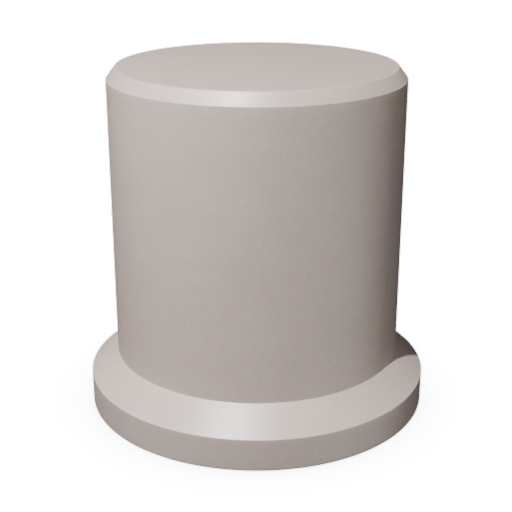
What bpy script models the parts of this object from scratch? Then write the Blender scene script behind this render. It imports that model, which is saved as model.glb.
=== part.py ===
"""A round stone column base, worked from one block: a plain drum on a wider round foot.

The foot has a low upright wall and a sloping top that sheds water away from the drum.
The drum rises straight and ends in a chamfer under the flat seat that carries the column.
Metres, +Z up, with the origin at the middle of the underside.
"""

import math

import bpy

# Driving dimensions of the stone.
FOOT_DIAMETER = 0.500
FOOT_WALL_HEIGHT = 0.0465
FOOT_SLOPE_RISE = 0.0335
DRUM_DIAMETER = 0.420
DRUM_FACE_HEIGHT = 0.402
SEAT_CHAMFER_RISE = 0.017
SEAT_CHAMFER_RUN = 0.013

# Every arris is eased by hand, which leaves it this wide on each side of the corner.
ARRIS_EASE = 0.0015
ARRIS_SEGMENTS = 2
# An edge that turns by more than this is an arris; the facets of the round turn by far less.
ARRIS_ANGLE = math.radians(25)

# Facets round the block, enough for each to bulge by under 0.1 mm.
FACETS = 128
MERGE_DISTANCE = 0.00001

STONE_COLOUR = (0.51, 0.42, 0.375, 1.0)
STONE_ROUGHNESS = 0.4
STONE_METALLIC = 0.0


def clear_scene():
    """Removes whatever the startup file holds."""
    for obj in list(bpy.data.objects):
        bpy.data.objects.remove(obj, do_unlink=True)


def stone_material():
    """Pale warm grey limestone with a honed face."""
    material = bpy.data.materials.new("limestone")
    material.use_nodes = True
    shader = material.node_tree.nodes["Principled BSDF"]
    shader.inputs["Base Color"].default_value = STONE_COLOUR
    shader.inputs["Roughness"].default_value = STONE_ROUGHNESS
    shader.inputs["Metallic"].default_value = STONE_METALLIC
    return material


def block_outline():
    """The half section of the block as (radius, height), down its outer side from the seat to the bed."""
    foot_radius = FOOT_DIAMETER / 2
    drum_radius = DRUM_DIAMETER / 2
    drum_foot = FOOT_WALL_HEIGHT + FOOT_SLOPE_RISE
    drum_head = drum_foot + DRUM_FACE_HEIGHT
    seat = drum_head + SEAT_CHAMFER_RISE
    return [
        (0.0, seat),
        (drum_radius - SEAT_CHAMFER_RUN, seat),
        (drum_radius, drum_head),
        (drum_radius, drum_foot),
        (foot_radius, FOOT_WALL_HEIGHT),
        (foot_radius, 0.0),
        (0.0, 0.0),
    ]


def turned_solid(name, outline, material):
    """Turns an outline round the Z axis into one closed solid."""
    mesh = bpy.data.meshes.new(name)
    corners = [(radius, 0.0, height) for radius, height in outline]
    edges = [(i, i + 1) for i in range(len(corners) - 1)]
    mesh.from_pydata(corners, edges, [])
    mesh.materials.append(material)
    obj = bpy.data.objects.new(name, mesh)

    turn = obj.modifiers.new("Turn", "SCREW")
    turn.axis = "Z"
    turn.angle = math.tau
    turn.steps = turn.render_steps = FACETS
    turn.use_merge_vertices = True
    turn.merge_threshold = MERGE_DISTANCE
    turn.use_smooth_shade = True
    return obj


def ease_arrises(obj):
    """Takes the sharpness off every arris, and leaves the round faces alone."""
    ease = obj.modifiers.new("Eased arrises", "BEVEL")
    ease.width = ARRIS_EASE
    ease.segments = ARRIS_SEGMENTS
    ease.limit_method = "ANGLE"
    ease.angle_limit = ARRIS_ANGLE
    ease.use_clamp_overlap = True


def build():
    clear_scene()
    collection = bpy.data.collections.new("Column base")
    bpy.context.scene.collection.children.link(collection)

    base = turned_solid("column_base", block_outline(), stone_material())
    ease_arrises(base)
    collection.objects.link(base)


build()
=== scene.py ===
"""A round limestone column base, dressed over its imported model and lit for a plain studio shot.

Metres, +Z up, with the origin at the middle of the underside. The camera looks along +Y.
"""

import math

import bpy
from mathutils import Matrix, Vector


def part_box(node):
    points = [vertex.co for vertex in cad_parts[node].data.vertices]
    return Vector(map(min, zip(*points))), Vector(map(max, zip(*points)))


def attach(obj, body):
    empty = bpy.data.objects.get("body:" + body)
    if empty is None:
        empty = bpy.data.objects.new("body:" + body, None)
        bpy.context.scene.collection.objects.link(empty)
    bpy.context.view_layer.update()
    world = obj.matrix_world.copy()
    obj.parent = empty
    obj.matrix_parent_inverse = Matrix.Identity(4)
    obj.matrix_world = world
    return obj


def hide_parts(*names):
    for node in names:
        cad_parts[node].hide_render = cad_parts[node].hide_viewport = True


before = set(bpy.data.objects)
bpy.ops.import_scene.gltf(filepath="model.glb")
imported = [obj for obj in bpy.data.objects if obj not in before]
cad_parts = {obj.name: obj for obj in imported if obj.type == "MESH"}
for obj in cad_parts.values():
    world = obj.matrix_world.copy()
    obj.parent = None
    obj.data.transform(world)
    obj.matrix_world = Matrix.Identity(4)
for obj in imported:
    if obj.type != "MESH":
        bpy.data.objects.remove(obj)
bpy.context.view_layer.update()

# The block's shape
# One block of pale limestone, turned on its own axis: a low wide foot, a sloping shoulder that
# sheds the rain, and a straight drum with a chamfer round its flat seat. The mason eases every
# arris and rubs the faces smooth by hand, which leaves them a few hundredths of a millimetre wavy.
lowest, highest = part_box("column_base")
foot_radius = (highest.x - lowest.x) / 2
seat_height = highest.z - lowest.z
foot_wall_height = 0.0465
shoulder_rise = 0.0335
drum_radius = 0.210
chamfer_rise = 0.017
chamfer_run = 0.013

# The round is drawn with this many sides, and a face with rings about this far apart, which
# crowd towards its arrises by this share.
sides = 512
ring_spacing = 0.007
ring_crowding = 0.85

arris_radius = 0.0013
arris_points = 4
# How far in from an arris the stone shows its wear, and how deep the wear goes.
arris_reach = 0.007
arris_wear = 0.0003
rubbing_width = 0.055
rubbing_depth = 0.00014
wave_detail = 1.0
# The knocks along an arris are this many to the reach of its wear.
knocks_in_reach = 2.0
block_seed = 3.0

# How far down a face looks, as its normal's Z: the bed is all that looks down past the first, and
# rubbing is in full from the second up.
bed_normal = -0.95
rubbed_normal = -0.7

join_distance = 0.000001

# A Mix node's sockets share their names, so they are found by number: two inputs and the result.
mix_sockets = {"FLOAT": (2, 3, 0), "VECTOR": (4, 5, 1), "RGBA": (6, 7, 2)}


def place(tree, kind, feeds=None, **settings):
    """Adds a node, with its settings, and feeds its inputs from sockets or from plain values."""
    added = tree.nodes.new(kind)
    for name, value in settings.items():
        setattr(added, name, value)
    for name, value in (feeds or {}).items():
        if isinstance(value, bpy.types.NodeSocket):
            tree.links.new(value, added.inputs[name])
        else:
            added.inputs[name].default_value = value
    return added


def reckon(tree, operation, *operands):
    """Adds a Math node for one sum and returns its result."""
    return place(tree, "ShaderNodeMath", dict(enumerate(operands)), operation=operation).outputs[0]


def reckon_vector(tree, operation, *operands):
    """Adds a Vector Math node for one sum and returns its vector."""
    added = place(tree, "ShaderNodeVectorMath", dict(enumerate(operands)), operation=operation)
    return added.outputs["Vector"]


def mixed(tree, kind, share, first, second):
    """Adds a Mix node for numbers, vectors or colours and returns its result."""
    first_socket, second_socket, result_socket = mix_sockets[kind]
    feeds = {0: share, first_socket: first, second_socket: second}
    return place(tree, "ShaderNodeMix", feeds, data_type=kind).outputs[result_socket]


def new_tree(name, kind, inputs, outputs):
    """Makes a node tree with named sockets, and returns it with its input and output nodes."""
    tree = bpy.data.node_groups.new(name, kind)
    for label, socket_type in inputs.items():
        tree.interface.new_socket(label, in_out="INPUT", socket_type=socket_type)
    for label, socket_type in outputs.items():
        tree.interface.new_socket(label, in_out="OUTPUT", socket_type=socket_type)
    return tree, tree.nodes.new("NodeGroupInput"), tree.nodes.new("NodeGroupOutput")


def half_section():
    """The block's half section as (radius, height), from the middle of the seat to that of the bed."""
    drum_head = seat_height - chamfer_rise
    drum_foot = foot_wall_height + shoulder_rise
    return [
        (0.0, seat_height),
        (drum_radius - chamfer_run, seat_height),
        (drum_radius, drum_head),
        (drum_radius, drum_foot),
        (foot_radius, foot_wall_height),
        (foot_radius, 0.0),
        (0.0, 0.0),
    ]


def eased_rings(tree, given):
    """The half section as a curve with round arrises and a point for every ring of the mesh."""
    line = place(tree, "GeometryNodeMeshToCurve", {"Mesh": given["Half section"]})
    eased = place(tree, "GeometryNodeFilletCurve", {
        "Curve": line.outputs["Curve"],
        "Radius": given["Arris radius"],
        "Count": given["Arris points"],
        "Limit Radius": True,
    }, mode="POLY")
    corners = eased.outputs["Curve"]

    index = place(tree, "GeometryNodeInputIndex").outputs["Index"]
    here = place(tree, "GeometryNodeInputPosition").outputs["Position"]
    ahead = place(tree, "GeometryNodeFieldAtIndex", {
        "Index": reckon(tree, "ADD", index, 1.0),
        "Value": here,
    }, data_type="FLOAT_VECTOR", domain="POINT")
    length = place(tree, "ShaderNodeVectorMath", {
        0: ahead.outputs["Value"],
        1: here,
    }, operation="DISTANCE").outputs["Value"]
    rings = reckon(tree, "CEIL", reckon(tree, "DIVIDE", length, given["Ring spacing"]))

    numbered = tree.nodes.new("GeometryNodeCaptureAttribute")
    numbered.capture_items.new("FLOAT", "Corner")
    tree.links.new(corners, numbered.inputs["Geometry"])
    tree.links.new(index, numbered.inputs["Corner"])
    divided = place(tree, "GeometryNodeSubdivideCurve", {
        "Curve": numbered.outputs["Geometry"],
        "Cuts": reckon(tree, "SUBTRACT", rings, 1.0),
    })

    # A new point's number runs from one corner's to the next, so its fraction says how far it is.
    corner = reckon(tree, "FLOOR", numbered.outputs["Corner"])
    share = reckon(tree, "FRACT", numbered.outputs["Corner"])
    # Half a cosine wave crowds the rings towards both ends of a face.
    wave = reckon(tree, "COSINE", reckon(tree, "MULTIPLY", share, math.pi))
    crowded = reckon(tree, "MULTIPLY_ADD", wave, -0.5, 0.5)
    along = mixed(tree, "FLOAT", given["Ring crowding"], share, crowded)
    ends = [
        place(tree, "GeometryNodeSampleIndex", {
            "Geometry": corners,
            "Value": here,
            "Index": number,
        }, data_type="FLOAT_VECTOR", clamp=True).outputs["Value"]
        for number in (corner, reckon(tree, "ADD", corner, 1.0))
    ]
    moved = place(tree, "GeometryNodeSetPosition", {
        "Geometry": divided.outputs["Curve"],
        "Position": mixed(tree, "VECTOR", along, ends[0], ends[1]),
    })
    return moved.outputs["Geometry"]


def turned(tree, rings, given):
    """Turns the curve's points round the Z axis into one closed skin of four-sided faces."""
    count = place(tree, "GeometryNodeAttributeDomainSize", {"Geometry": rings}, component="CURVE")
    ring_count = count.outputs["Point Count"]
    sheet = place(tree, "GeometryNodeMeshGrid", {
        "Vertices X": reckon(tree, "ADD", given["Sides"], 1.0),
        "Vertices Y": ring_count,
    })
    index = place(tree, "GeometryNodeInputIndex").outputs["Index"]
    column = reckon(tree, "FLOOR", reckon(tree, "DIVIDE", index, ring_count))
    row = reckon(tree, "SUBTRACT", index, reckon(tree, "MULTIPLY", column, ring_count))
    on_curve = place(tree, "GeometryNodeSampleIndex", {
        "Geometry": rings,
        "Value": place(tree, "GeometryNodeInputPosition").outputs["Position"],
        "Index": row,
    }, data_type="FLOAT_VECTOR", clamp=True)
    angle = reckon(tree, "DIVIDE", reckon(tree, "MULTIPLY", column, math.tau), given["Sides"])
    round_the_axis = place(tree, "ShaderNodeVectorRotate", {
        "Vector": on_curve.outputs["Value"],
        "Angle": angle,
    }, rotation_type="Z_AXIS")
    placed = place(tree, "GeometryNodeSetPosition", {
        "Geometry": sheet.outputs["Mesh"],
        "Position": round_the_axis.outputs["Vector"],
    })
    closed = place(tree, "GeometryNodeMergeByDistance", {
        "Geometry": placed.outputs["Geometry"],
        "Distance": given["Join distance"],
    })
    outwards = place(tree, "GeometryNodeFlipFaces", {"Mesh": closed.outputs["Geometry"]})
    return outwards.outputs["Mesh"]


def nearness_to_arris(tree, given):
    """1 on an arris, falling to 0 at the arris reach, worked out on the half section."""
    position = place(tree, "GeometryNodeInputPosition").outputs["Position"]
    parts = place(tree, "ShaderNodeSeparateXYZ", {"Vector": position})
    # The half section's two ends lie on the axis, and aren't arrises.
    on_the_axis = place(tree, "FunctionNodeCompare", {
        "A": parts.outputs["X"],
        "B": given["Arris reach"],
    }, operation="LESS_THAN")
    arrises = place(tree, "GeometryNodeDeleteGeometry", {
        "Geometry": given["Half section"],
        "Selection": on_the_axis.outputs["Result"],
    }, domain="POINT")
    flat = reckon_vector(tree, "MULTIPLY", position, (1.0, 1.0, 0.0))
    radius = place(tree, "ShaderNodeVectorMath", {0: flat}, operation="LENGTH").outputs["Value"]
    in_section = place(tree, "ShaderNodeCombineXYZ", {"X": radius, "Z": parts.outputs["Z"]})
    nearest = place(tree, "GeometryNodeProximity", {
        "Geometry": arrises.outputs["Geometry"],
        "Sample Position": in_section.outputs["Vector"],
    }, target_element="POINTS")
    return place(tree, "ShaderNodeMapRange", {
        "Value": nearest.outputs["Distance"],
        "From Min": 0.0,
        "From Max": given["Arris reach"],
        "To Min": 1.0,
        "To Max": 0.0,
    }, interpolation_type="SMOOTHSTEP").outputs["Result"]


def rubbed(tree, block, nearness, given):
    """Sinks the skin by the waves of hand rubbing and the arrises by their wear. The bed stays flat."""
    normal = place(tree, "GeometryNodeInputNormal").outputs["Normal"]
    off_the_bed = place(tree, "ShaderNodeMapRange", {
        "Value": place(tree, "ShaderNodeSeparateXYZ", {"Vector": normal}).outputs["Z"],
        "From Min": bed_normal,
        "From Max": rubbed_normal,
    }).outputs["Result"]
    waves = place(tree, "ShaderNodeTexNoise", {
        "W": given["Seed"],
        "Scale": reckon(tree, "DIVIDE", 1.0, given["Rubbing width"]),
        "Detail": wave_detail,
    }, noise_dimensions="4D").outputs["Fac"]
    knocks = place(tree, "ShaderNodeTexNoise", {
        "W": given["Seed"],
        "Scale": reckon(tree, "DIVIDE", knocks_in_reach, given["Arris reach"]),
        "Detail": wave_detail,
    }, noise_dimensions="4D").outputs["Fac"]
    sunk = reckon(tree, "MULTIPLY", waves, given["Rubbing depth"])
    worn = reckon(tree, "MULTIPLY", reckon(tree, "MULTIPLY", knocks, nearness), given["Arris wear"])
    depth = reckon(tree, "MULTIPLY", reckon(tree, "ADD", sunk, worn), off_the_bed)
    inwards = place(tree, "ShaderNodeVectorMath", {
        0: normal,
        "Scale": reckon(tree, "MULTIPLY", depth, -1.0),
    }, operation="SCALE").outputs["Vector"]
    moved = place(tree, "GeometryNodeSetPosition", {"Geometry": block, "Offset": inwards})
    return moved.outputs["Geometry"]


def turned_block_tree():
    """The whole recipe: ease the half section, turn it, rub it, and give each face its stone."""
    tree, given, result = new_tree("Turned block", "GeometryNodeTree", {
        "Half section": "NodeSocketGeometry",
        "Sides": "NodeSocketInt",
        "Ring spacing": "NodeSocketFloat",
        "Ring crowding": "NodeSocketFloat",
        "Arris radius": "NodeSocketFloat",
        "Arris points": "NodeSocketInt",
        "Arris reach": "NodeSocketFloat",
        "Arris wear": "NodeSocketFloat",
        "Rubbing width": "NodeSocketFloat",
        "Rubbing depth": "NodeSocketFloat",
        "Join distance": "NodeSocketFloat",
        "Seed": "NodeSocketFloat",
        "Rubbed stone": "NodeSocketMaterial",
        "Sawn stone": "NodeSocketMaterial",
    }, {"Block": "NodeSocketGeometry"})
    given = given.outputs
    rings = eased_rings(tree, given)
    block = turned(tree, rings, given)
    nearness = nearness_to_arris(tree, given)
    marked = place(tree, "GeometryNodeStoreNamedAttribute", {
        "Geometry": block,
        "Name": "arris",
        "Value": nearness,
    }, data_type="FLOAT", domain="POINT")
    worn = rubbed(tree, marked.outputs["Geometry"], nearness, given)
    smooth = place(tree, "GeometryNodeSetShadeSmooth", {"Geometry": worn})
    real = place(tree, "GeometryNodeRealizeInstances", {"Geometry": smooth.outputs["Geometry"]})
    dressed = place(tree, "GeometryNodeSetMaterial", {
        "Geometry": real.outputs["Geometry"],
        "Material": given["Rubbed stone"],
    })
    underneath = place(tree, "FunctionNodeCompare", {
        "A": place(tree, "ShaderNodeSeparateXYZ", {
            "Vector": place(tree, "GeometryNodeInputNormal").outputs["Normal"],
        }).outputs["Z"],
        "B": bed_normal,
    }, operation="LESS_THAN")
    bedded = place(tree, "GeometryNodeSetMaterial", {
        "Geometry": dressed.outputs["Geometry"],
        "Selection": underneath.outputs["Result"],
        "Material": given["Sawn stone"],
    })
    tree.links.new(bedded.outputs["Geometry"], result.inputs["Block"])
    return tree


# The stone's finish
# Fine-grained limestone, laid on its natural bed: an even warm grey body of tiny round grains,
# with faint level beds, clouds of slightly warmer stone, thin slips of pale shell and pin-sized
# pores, darkened with painted shade in their hollows. The faces that show are rubbed to a soft
# sheen, and the bed is left as the saw leaves it.
stone_colour = (0.509, 0.422, 0.3785)
warm_stone = (0.519, 0.421, 0.3685)
shell_colour = (0.60, 0.53, 0.48)
# The pores are darkened towards this colour, a painted shade in their hollows.
pore_shade_colour = (0.30, 0.235, 0.195)
# Calcite, which the stone is made of, mirrors more than glass does.
calcite_ior = 1.66

# The patterns are noise, stretched to run from about -1 to 1. More detail gives ragged edges.
noise_roughness = 0.55
noise_stretch = 4.0
soft_detail = 2.0
ragged_detail = 3.0

warmth_width = 0.2
warmth_offset = (3.1, 1.7, 0.4)
cloud_width = 0.11
bed_thickness = 0.016
# The beds run this many times further than they are thick.
bed_run = 9.0
mottle_width = 0.009
mottle_offset = (0.3, 2.3, 1.1)
grain_width = 0.0011
# Every relief is a height in millimetres.
millimetre = 0.001
grain_relief = 0.008

# A shell slip is a thin disc set at a slant of its own, one in each space of this width.
shell_space = 0.007
shell_width = 0.005
shell_thickness = 0.0012
# The share of a slip, from its middle out, that shows in full before it fades.
shell_core = 0.6
shell_paleness = 0.75
shell_relief = 0.01

pore_space = 0.0026
pore_width = 0.0013
# The smallest pore is this share of the widest, and each is at full depth over a core of its own.
smallest_pore = 0.3
pore_core = 0.4
# Pores crowd in some places, about this wide, and thin out in others: their number is the first
# share of the usual, more or less the second.
pore_crowd_width = 0.05
pore_evenness = 0.9
pore_crowding = 1.2
# How far a pore is darkened, a painted shade in its hollow.
pore_shade_darkness = 0.75
pore_relief = -0.10


def mottled(tree, where, width, detail, offset=(0.0, 0.0, 0.0), squash=(1.0, 1.0, 1.0)):
    """A noise between about -1 and 1, with blots of the given width."""
    laid = place(tree, "ShaderNodeMapping", {"Vector": where, "Location": offset, "Scale": squash})
    raw = place(tree, "ShaderNodeTexNoise", {
        "Vector": laid.outputs["Vector"],
        "Scale": 1.0 / width,
        "Detail": detail,
        "Roughness": noise_roughness,
    }).outputs["Fac"]
    return reckon(tree, "MULTIPLY_ADD", raw, noise_stretch, -noise_stretch / 2)


def scattered(tree, where, space):
    """Cells of the given width, each with a middle and three random numbers as its colour."""
    return place(tree, "ShaderNodeTexVoronoi", {"Vector": where, "Scale": 1.0 / space}).outputs


def from_middle(tree, where, cells):
    """The way to here from the middle of the cell."""
    return reckon_vector(tree, "SUBTRACT", where, cells["Position"])


def luck(tree, cells):
    """The cell's three random numbers, one by one."""
    return place(tree, "ShaderNodeSeparateColor", {"Color": cells["Color"]}).outputs


def shell_slips(tree, where, share):
    """A mask of shell slips in the given share of their spaces."""
    cells = scattered(tree, where, shell_space)
    slant = place(tree, "ShaderNodeVectorMath", {
        0: cells["Color"],
        "Scale": math.tau,
    }, operation="SCALE")
    level = place(tree, "ShaderNodeVectorRotate", {
        "Vector": from_middle(tree, where, cells),
        "Rotation": slant.outputs["Vector"],
    }, rotation_type="EULER_XYZ")
    half_sizes = (shell_width / 2, shell_width / 2, shell_thickness / 2)
    reach = reckon_vector(tree, "DIVIDE", level.outputs["Vector"], half_sizes)
    depth = place(tree, "ShaderNodeVectorMath", {0: reach}, operation="LENGTH").outputs["Value"]
    slip = place(tree, "ShaderNodeMapRange", {
        "Value": depth,
        "From Min": 1.0,
        "From Max": shell_core,
    }, interpolation_type="SMOOTHSTEP").outputs["Result"]
    kept = reckon(tree, "LESS_THAN", luck(tree, cells)["Green"], share)
    return reckon(tree, "MULTIPLY", slip, kept)


def pin_pores(tree, where, share, crowd):
    """A mask of pores of many sizes, in the given share of their spaces and more where they crowd."""
    cells = scattered(tree, where, pore_space)
    draws = luck(tree, cells)
    away = place(tree, "ShaderNodeVectorMath", {
        0: from_middle(tree, where, cells),
    }, operation="LENGTH").outputs["Value"]
    size = reckon(tree, "MULTIPLY_ADD", draws["Red"], 1.0 - smallest_pore, smallest_pore)
    edge = reckon(tree, "MULTIPLY", size, pore_width / 2)
    pore = place(tree, "ShaderNodeMapRange", {
        "Value": away,
        "From Min": edge,
        "From Max": reckon(tree, "MULTIPLY", edge, pore_core),
    }, interpolation_type="SMOOTHSTEP").outputs["Result"]
    number = reckon(tree, "MULTIPLY_ADD", crowd, pore_crowding, pore_evenness)
    kept = reckon(tree, "LESS_THAN", draws["Green"], reckon(tree, "MULTIPLY", share, number))
    return reckon(tree, "MULTIPLY", pore, kept)


def stone_body():
    """A group with the stone's colour, darkened with painted shade in its pores, the height of its skin
    in millimetres, and its grain.
    """
    tree, given, result = new_tree("Limestone body", "ShaderNodeTree", {
        "Colour": "NodeSocketColor",
        "Warm colour": "NodeSocketColor",
        "Shell colour": "NodeSocketColor",
        "Pore shade colour": "NodeSocketColor",
        "Cloud contrast": "NodeSocketFloat",
        "Bed contrast": "NodeSocketFloat",
        "Mottle contrast": "NodeSocketFloat",
        "Grain contrast": "NodeSocketFloat",
        "Shell share": "NodeSocketFloat",
        "Pore share": "NodeSocketFloat",
    }, {"Colour": "NodeSocketColor", "Height": "NodeSocketFloat", "Grain": "NodeSocketFloat"})
    given = given.outputs
    where = place(tree, "ShaderNodeTexCoord").outputs["Object"]

    bed_squash = (1.0 / bed_run, 1.0 / bed_run, 1.0)
    warmth = mottled(tree, where, warmth_width, soft_detail, offset=warmth_offset)
    clouds = mottled(tree, where, cloud_width, ragged_detail)
    beds = mottled(tree, where, bed_thickness, ragged_detail, squash=bed_squash)
    mottle = mottled(tree, where, mottle_width, soft_detail, offset=mottle_offset)
    # Each grain's random number, from 0 to 1, is spread to run from -1 to 1.
    grain_draw = luck(tree, scattered(tree, where, grain_width))["Red"]
    grain = reckon(tree, "MULTIPLY_ADD", grain_draw, 2.0, -1.0)

    tone = 1.0
    for pattern, label in ((clouds, "Cloud"), (beds, "Bed"), (mottle, "Mottle"), (grain, "Grain")):
        tone = reckon(tree, "MULTIPLY_ADD", pattern, given[label + " contrast"], tone)
    warm = place(tree, "ShaderNodeMapRange", {"Value": warmth, "From Min": -1.0, "From Max": 1.0})
    plain = mixed(tree, "RGBA", warm.outputs["Result"], given["Colour"], given["Warm colour"])
    toned = place(tree, "ShaderNodeVectorMath", {0: plain, "Scale": tone}, operation="SCALE")

    slips = shell_slips(tree, where, given["Shell share"])
    crowd = mottled(tree, where, pore_crowd_width, soft_detail)
    pores = pin_pores(tree, where, given["Pore share"], crowd)
    pale = reckon(tree, "MULTIPLY", slips, shell_paleness)
    shelly = mixed(tree, "RGBA", pale, toned.outputs["Vector"], given["Shell colour"])
    # Painted shade: each pore is darkened as if its hollow were in shadow.
    painted_pore_shade = reckon(tree, "MULTIPLY", pores, pore_shade_darkness)
    colour = mixed(tree, "RGBA", painted_pore_shade, shelly, given["Pore shade colour"])

    height = reckon(tree, "MULTIPLY", grain, grain_relief)
    height = reckon(tree, "MULTIPLY_ADD", slips, shell_relief, height)
    height = reckon(tree, "MULTIPLY_ADD", pores, pore_relief, height)
    tree.links.new(colour, result.inputs["Colour"])
    tree.links.new(height, result.inputs["Height"])
    tree.links.new(grain, result.inputs["Grain"])
    return tree


limestone_body = stone_body()


def stone_material(name, amounts, roughness, roughness_spread):
    """A Principled material with the stone's body in it, and its tree, shader and body nodes."""
    material = bpy.data.materials.new(name)
    material.use_nodes = True
    tree = material.node_tree
    shader = tree.nodes["Principled BSDF"]
    shader.inputs["IOR"].default_value = calcite_ior
    body = place(tree, "ShaderNodeGroup", node_tree=limestone_body)
    body.inputs["Colour"].default_value = (*stone_colour, 1.0)
    body.inputs["Warm colour"].default_value = (*warm_stone, 1.0)
    body.inputs["Shell colour"].default_value = (*shell_colour, 1.0)
    body.inputs["Pore shade colour"].default_value = (*pore_shade_colour, 1.0)
    for label, value in amounts.items():
        body.inputs[label].default_value = value
    rough = reckon(tree, "MULTIPLY_ADD", body.outputs["Grain"], roughness_spread, roughness)
    tree.links.new(rough, shader.inputs["Roughness"])
    return material, tree, shader, body


def rubbed_limestone():
    """The faces that show, with arrises that are a little paler where they are worn."""
    material, tree, shader, body = stone_material("rubbed limestone", {
        "Cloud contrast": 0.030,
        "Bed contrast": 0.022,
        "Mottle contrast": 0.022,
        "Grain contrast": 0.08,
        "Shell share": 0.4,
        "Pore share": 0.13,
    }, roughness=0.40, roughness_spread=0.03)
    worn_paler = 0.15
    arris = place(tree, "ShaderNodeAttribute", attribute_name="arris").outputs["Fac"]
    wear = reckon(tree, "MULTIPLY", arris, worn_paler)
    paler = mixed(tree, "RGBA", wear, body.outputs["Colour"], (*shell_colour, 1.0))
    tree.links.new(paler, shader.inputs["Base Color"])
    bump = place(tree, "ShaderNodeBump", {
        "Height": body.outputs["Height"],
        "Distance": millimetre,
    })
    tree.links.new(bump.outputs["Normal"], shader.inputs["Normal"])
    return material


def sawn_limestone():
    """The bed, with the level marks of a frame saw across it."""
    material, tree, shader, body = stone_material("sawn limestone", {
        "Cloud contrast": 0.03,
        "Bed contrast": 0.0,
        "Mottle contrast": 0.02,
        "Grain contrast": 0.08,
        "Shell share": 0.4,
        "Pore share": 0.16,
    }, roughness=0.72, roughness_spread=0.05)
    # The saw leaves a mark about every 8 mm, which this scale gives, and the marks wander a little.
    saw_mark_depth = 0.12
    saw_mark_scale = 38.0
    saw_mark_wander = 1.2
    wander_scale = 0.6
    marks = place(tree, "ShaderNodeTexWave", {
        "Vector": place(tree, "ShaderNodeTexCoord").outputs["Object"],
        "Scale": saw_mark_scale,
        "Distortion": saw_mark_wander,
        "Detail": soft_detail,
        "Detail Scale": wander_scale,
    }, bands_direction="Y").outputs["Fac"]
    height = reckon(tree, "MULTIPLY_ADD", marks, saw_mark_depth, body.outputs["Height"])
    bump = place(tree, "ShaderNodeBump", {"Height": height, "Distance": millimetre})
    tree.links.new(bump.outputs["Normal"], shader.inputs["Normal"])
    tree.links.new(body.outputs["Colour"], shader.inputs["Base Color"])
    return material


def half_section_mesh():
    """The half section as a chain of edges, for the recipe to work on."""
    mesh = bpy.data.meshes.new("half section")
    points = [(radius, 0.0, height) for radius, height in half_section()]
    mesh.from_pydata(points, [(i, i + 1) for i in range(len(points) - 1)], [])
    return mesh


def finished_block():
    """Runs the recipe once and keeps its result as a plain mesh."""
    section = bpy.data.objects.new("half section", half_section_mesh())
    bpy.context.scene.collection.objects.link(section)
    recipe = section.modifiers.new("Turned block", "NODES")
    recipe.node_group = turned_block_tree()
    settings = {
        "Sides": sides,
        "Ring spacing": ring_spacing,
        "Ring crowding": ring_crowding,
        "Arris radius": arris_radius,
        "Arris points": arris_points,
        "Arris reach": arris_reach,
        "Arris wear": arris_wear,
        "Rubbing width": rubbing_width,
        "Rubbing depth": rubbing_depth,
        "Join distance": join_distance,
        "Seed": block_seed,
        "Rubbed stone": rubbed_limestone(),
        "Sawn stone": sawn_limestone(),
    }
    for socket in recipe.node_group.interface.items_tree:
        if socket.in_out == "INPUT" and socket.name in settings:
            recipe[socket.identifier] = settings[socket.name]
    section.update_tag()
    bpy.context.view_layer.update()
    evaluated = section.evaluated_get(bpy.context.evaluated_depsgraph_get())
    mesh = bpy.data.meshes.new_from_object(evaluated)
    # The section came in with an empty material slot, which nothing uses.
    mesh.materials.pop(index=0)
    bpy.data.objects.remove(section)
    block = bpy.data.objects.new("limestone_block", mesh)
    bpy.context.scene.collection.objects.link(block)
    return block


block = finished_block()
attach(block, "root")
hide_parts("column_base")

# The picture's tone
# The stone is shown as it is lit, and only what is brighter than any of it, seen from the front,
# sides or back, is lifted to white. So the backdrop needs little more light than the stone, and
# the outline against it stays smooth.
stone_top = 5.0
backdrop_light = 5.6
white_light = 19.0

picture = bpy.context.scene.view_settings
picture.view_transform = "AgX"
picture.use_curve_mapping = True
tone = picture.curve_mapping
tone.extend = "EXTRAPOLATED"
tone.clip_max_x = backdrop_light
tone.clip_max_y = white_light
# The fourth curve is for all three colours at once, and its second point is its upper end.
all_colours = tone.curves[3]
all_colours.points[1].location = (stone_top, stone_top)
all_colours.points.new(backdrop_light, white_light)
for point in all_colours.points:
    point.handle_type = "VECTOR"
tone.update()

# The studio floor
# A light table: a plain white sheet, lit evenly from beneath, that runs past the picture on every
# side. It isn't part of the base, and its glow is darkened where the base stands close over it, a
# painted contact shadow.
floor_size = 30.0
floor_gap = 0.0002
# The painted contact shadow reaches this far out from the base, falls off this steeply and dims the
# glow this much.
contact_shadow_reach = 0.16
contact_shadow_falloff = 2.2
contact_shadow_depth = 0.55
contact_shadow_samples = 16
floor_roughness = 0.9
black = (0.0, 0.0, 0.0, 1.0)
white = (1.0, 1.0, 1.0, 1.0)

half_floor = floor_size / 2
floor_mesh = bpy.data.meshes.new("floor")
floor_mesh.from_pydata([
    (-half_floor, -half_floor, -floor_gap),
    (half_floor, -half_floor, -floor_gap),
    (half_floor, half_floor, -floor_gap),
    (-half_floor, half_floor, -floor_gap),
], [], [(0, 1, 2, 3)])
floor = bpy.data.objects.new("floor", floor_mesh)
bpy.context.scene.collection.objects.link(floor)
# It neither shades the base nor sends light up to it, so the foot is lit as evenly as the drum.
floor.visible_diffuse = False
floor.visible_glossy = False
floor.visible_shadow = False
floor_material = bpy.data.materials.new("pale floor")
floor_material.use_nodes = True
floor_mesh.materials.append(floor_material)
tree = floor_material.node_tree
shader = tree.nodes["Principled BSDF"]
shader.inputs["Base Color"].default_value = black
shader.inputs["Roughness"].default_value = floor_roughness
shader.inputs["Specular IOR Level"].default_value = 0.0
shader.inputs["Emission Color"].default_value = white
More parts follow.
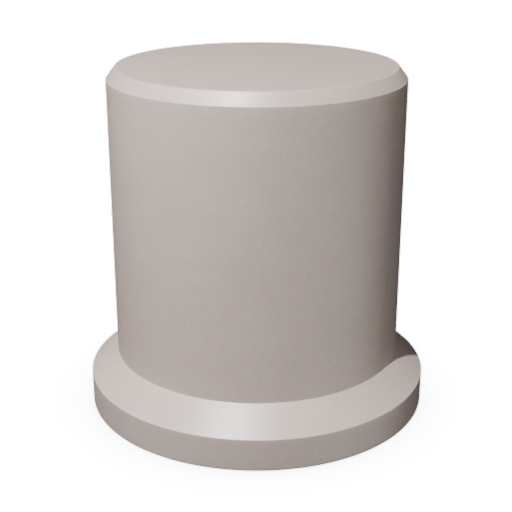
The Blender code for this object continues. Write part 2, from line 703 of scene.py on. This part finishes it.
# Painted contact shadow: the glow is dimmed where the base is close above the floor.
openness = place(tree, "ShaderNodeAmbientOcclusion", {
    "Distance": contact_shadow_reach,
}, samples=contact_shadow_samples)
shade = reckon(tree, "POWER", openness.outputs["AO"], contact_shadow_falloff)
glow = reckon(tree, "MULTIPLY_ADD", shade, contact_shadow_depth, backdrop_light - contact_shadow_depth)
tree.links.new(glow, shader.inputs["Emission Strength"])

# The studio light
# A high lamp ahead and to the left models the round and lights the shoulder and chamfer. Four
# more fill its shade from both sides, the low one through the floor, which lets its light past,
# and a sixth lifts the back.
lamp_aim = seat_height / 2


def lamp(name, azimuth, elevation, distance, size, power, stretch=1.0, sheen=True):
    """A round or stretched lamp that faces the block, placed by its angles from the camera's side."""
    light = bpy.data.lights.new(name, "AREA")
    light.shape = "ELLIPSE"
    light.size = size * stretch
    light.size_y = size
    light.energy = power
    stand = bpy.data.objects.new(name, light)
    turn, rise = math.radians(azimuth), math.radians(elevation)
    stand.location = (
        distance * math.cos(rise) * math.sin(turn),
        -distance * math.cos(rise) * math.cos(turn),
        lamp_aim + distance * math.sin(rise),
    )
    stand.rotation_euler = (math.pi / 2 - rise, 0.0, turn)
    stand.visible_camera = False
    stand.visible_glossy = sheen
    bpy.context.scene.collection.objects.link(stand)


lamp("key", azimuth=-27.0, elevation=63.6, distance=7.864, size=0.108, power=1036.0)
lamp("near left", azimuth=-42.8, elevation=48.6, distance=0.858, size=0.349, power=2.97)
lamp("right", azimuth=21.8, elevation=29.7, distance=1.807, size=0.03, power=9.81)
lamp("left", azimuth=-79.9, elevation=25.5, distance=2.963, size=0.097, power=39.2)
lamp("low right", azimuth=64.4, elevation=-25.0, distance=1.134, size=1.02, power=1.6)
# The back's light gives no sheen, or it would glare along the drum's edges from in front.
lamp(
    "back", azimuth=-174.0, elevation=-5.0, distance=1.4, size=0.16, power=17.0,
    stretch=5.0, sheen=False,
)

# The backdrop is as white as the floor to the camera, and sheds hardly any light on the base.
room_light = 0.003
world = bpy.data.worlds.new("studio")
bpy.context.scene.world = world
world.use_nodes = True
tree = world.node_tree
room = tree.nodes["Background"]
room.inputs["Color"].default_value = white
seen = place(tree, "ShaderNodeLightPath").outputs["Is Camera Ray"]
tree.links.new(
    reckon(tree, "MULTIPLY_ADD", seen, backdrop_light - room_light, room_light),
    room.inputs["Strength"],
)

# The camera
# It stands ahead of the base, a little to the left of its middle, and looks down on it at 20
# degrees with a long lens.
camera_distance = 1.572
camera_pitch = math.radians(20.0)
aim_height = 0.214
aim_left = 0.00134
lens = 74.49
sensor_width = 36.0

camera = bpy.data.objects.new("camera", bpy.data.cameras.new("camera"))
camera.data.lens = lens
camera.data.sensor_width = sensor_width
camera.location = (
    -aim_left,
    -camera_distance * math.cos(camera_pitch),
    aim_height + camera_distance * math.sin(camera_pitch),
)
camera.rotation_euler = (math.pi / 2 - camera_pitch, 0.0, 0.0)
bpy.context.scene.collection.objects.link(camera)
bpy.context.scene.camera = camera
